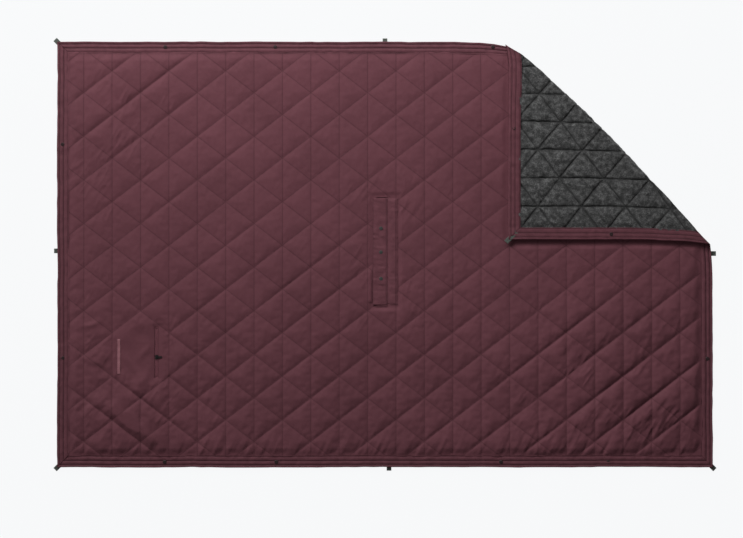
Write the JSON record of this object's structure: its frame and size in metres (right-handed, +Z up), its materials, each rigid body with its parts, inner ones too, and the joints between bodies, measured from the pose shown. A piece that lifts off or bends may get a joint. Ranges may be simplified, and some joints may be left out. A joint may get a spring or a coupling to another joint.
{
  "type": "camp blanket",
  "caption": "Rectangular quilted camp blanket, nylon face and fleece back, stitched border, one corner folded over, snapped neck slit and zipped pocket.",
  "frame": {"origin": "middle of the bounding box, on the ground under the blanket", "axes": "+X along the long side, +Y along the short side, +Z up out of the blanket's quilted face"},
  "size_m": [1.98, 1.294, 0.023],
  "materials": {
    "face_nylon": "matte plum nylon, fine plain weave, quilted",
    "border_binding": "plum nylon tape with three stitched rows",
    "fleece": "grey high-pile fleece",
    "filling": "off-white lofted polyester",
    "webbing": "dark grey-green woven webbing",
    "dark_snap": "dark moulded press stud, satin",
    "grey_snap": "grey moulded press stud, satin",
    "zip_tape": "dark plum woven zip tape",
    "zip_coil": "black moulded coil",
    "zip_metal": "black enamelled zip slider",
    "ribbon": "plain pale pink satin ribbon"
  },
  "bodies": {
    "blanket": {"face_shell": "face_nylon", "insulation": "filling", "fleece_backing": "fleece", "binding_left": "border_binding", "binding_bottom": "border_binding", "binding_top": "border_binding", "binding_right": "border_binding", "fold_roll_binding_top": "border_binding", "fold_roll_fleece": "fleece", "fold_roll_binding_right": "border_binding", "snap_top_1": "dark_snap", "snap_top_2": "dark_snap", "snap_top_3": "dark_snap", "snap_bottom_1": "dark_snap", "snap_bottom_2": "dark_snap", "snap_bottom_3": "dark_snap", "snap_bottom_4": "dark_snap", "snap_left_1": "dark_snap", "snap_left_2": "dark_snap", "snap_right_2": "dark_snap", "loop_mid_right": "webbing", "loop_mid_top": "webbing", "loop_corner_top_left": "webbing", "loop_mid_left": "webbing", "loop_corner_bottom_left": "webbing", "loop_mid_bottom": "webbing", "loop_corner_bottom_right": "webbing", "neck_slit_lining": "border_binding", "neck_facing": "face_nylon", "neck_snap_stud_1": "grey_snap", "neck_snap_stud_2": "grey_snap", "neck_snap_stud_3": "grey_snap", "neck_tack_top": "border_binding", "neck_tack_bottom": "border_binding", "pocket_bag": "face_nylon", "pocket_ribbon": "ribbon", "zip_tape_left": "zip_tape", "zip_tape_right": "zip_tape", "zip_teeth_left": "zip_coil", "zip_teeth_right": "zip_coil", "zip_stop_top": "zip_metal", "zip_stop_bottom": "zip_metal"},
    "corner": {"corner_face_shell": "face_nylon", "corner_insulation": "filling", "corner_fleece": "fleece", "corner_binding_top": "border_binding", "corner_binding_right": "border_binding", "snap_top_4": "dark_snap", "snap_right_1": "dark_snap", "loop_corner_top_right": "webbing"},
    "neck_flap_body": {"neck_flap": "face_nylon", "neck_snap_cap_1": "grey_snap", "neck_snap_cap_2": "grey_snap", "neck_snap_cap_3": "grey_snap"},
    "slider": {"zip_slider": "zip_metal"},
    "pull_tab": {"zip_pull": "zip_metal"}
  },
  "joints": [
    {"name": "corner_fold", "type": "hinge", "parent": "blanket", "child": "corner", "pos_m": [0.506, 0.506, 0.0115], "axis": [-0.7071, 0.7071, 0], "range_deg": [0, 180], "deforming": ["fold_roll_binding_top", "fold_roll_fleece", "fold_roll_binding_right"]},
    {"name": "neck_flap_lift", "type": "hinge", "parent": "blanket", "child": "neck_flap_body", "pos_m": [0.007, 0.009, 0.0119], "axis": [0, 1, 0], "range_deg": [0, 160]},
    {"name": "zip_run", "type": "slide", "parent": "blanket", "child": "slider", "axis": [0, 1, 0], "range_m": [-0.053, 0.08]},
    {"name": "pull_swing", "type": "hinge", "parent": "slider", "child": "pull_tab", "pos_m": [-0.6805, -0.3056, 0.0138], "axis": [0, -1, 0], "range_deg": [0, 180]}
  ]
}
